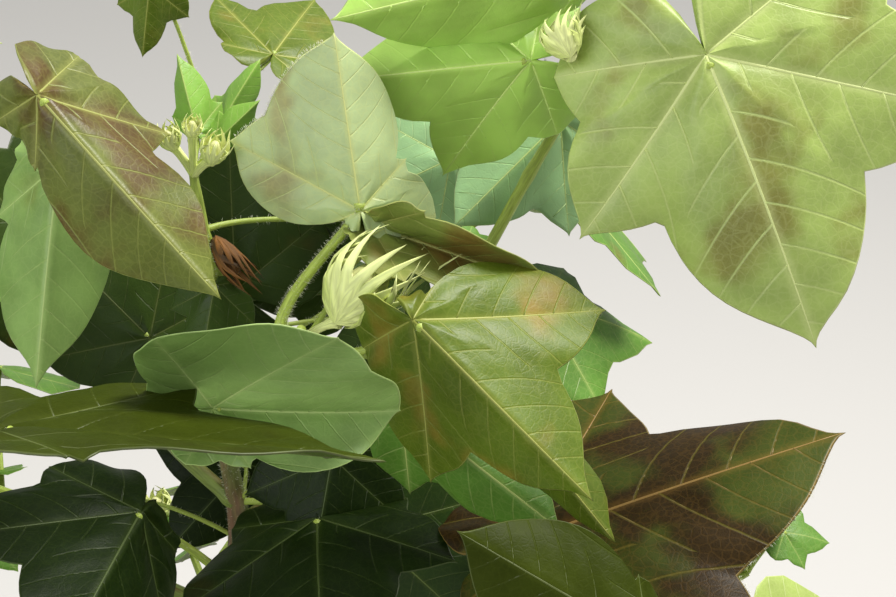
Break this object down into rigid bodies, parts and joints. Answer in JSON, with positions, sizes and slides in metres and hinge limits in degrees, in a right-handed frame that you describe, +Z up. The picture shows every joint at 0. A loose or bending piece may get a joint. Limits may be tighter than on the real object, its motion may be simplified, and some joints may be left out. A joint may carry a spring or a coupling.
{
  "type": "cotton plant",
  "caption": "Cotton plant before flowering, with broad lobed leaves, bracted flower buds, an upright main stem and slanting side boughs, in a round clay pot.",
  "frame": {"origin": "centre of the pot's flat underside, on the axis of the pot, under the foot of the main stem", "axes": "+Z up along the main stem; the fullest upper leaves, as the picture shows them, face -Y"},
  "size_m": [0.5446, 0.5195, 1.0894],
  "materials": {
    "clay": "matte",
    "soil": "matte",
    "stem": "matte",
    "bough": "matte",
    "foliage": "satin"
  },
  "bodies": {
    "root": {"pot": "clay", "soil": "soil", "main_stem": "stem", "bough_centre": "bough", "bough_front": "bough", "bough_right": "bough", "bough_low_right": "bough", "bough_back": "bough", "bough_a": "bough", "bough_b": "bough", "bough_c": "bough", "bough_d": "bough", "bough_e": "bough", "bough_f": "bough", "bough_g": "bough", "bough_h": "bough", "bough_i": "bough", "bough_j": "bough", "bough_k": "bough", "bough_l": "bough", "bough_m": "bough", "mass_centre": "foliage", "mass_front": "foliage", "mass_right": "foliage", "mass_low_right": "foliage", "mass_back": "foliage", "mass_tip": "foliage", "mass_a": "foliage", "mass_b": "foliage", "mass_c": "foliage", "mass_d": "foliage", "mass_e": "foliage", "mass_f": "foliage", "mass_g": "foliage", "mass_h": "foliage", "mass_i": "foliage", "mass_j": "foliage", "mass_k": "foliage", "mass_l": "foliage", "mass_m": "foliage", "leaf_low_front": "foliage", "leaf_low_left": "foliage", "leaf_inner_right": "foliage", "leaf_inner_left": "foliage", "leaf_small_left": "foliage", "leaf_one": "foliage", "leaf_two": "foliage", "leaf_three": "foliage", "leaf_four": "foliage", "leaf_five": "foliage", "leaf_six": "foliage", "leaf_seven": "foliage", "leaf_eight": "foliage"}
  },
  "joints": []
}
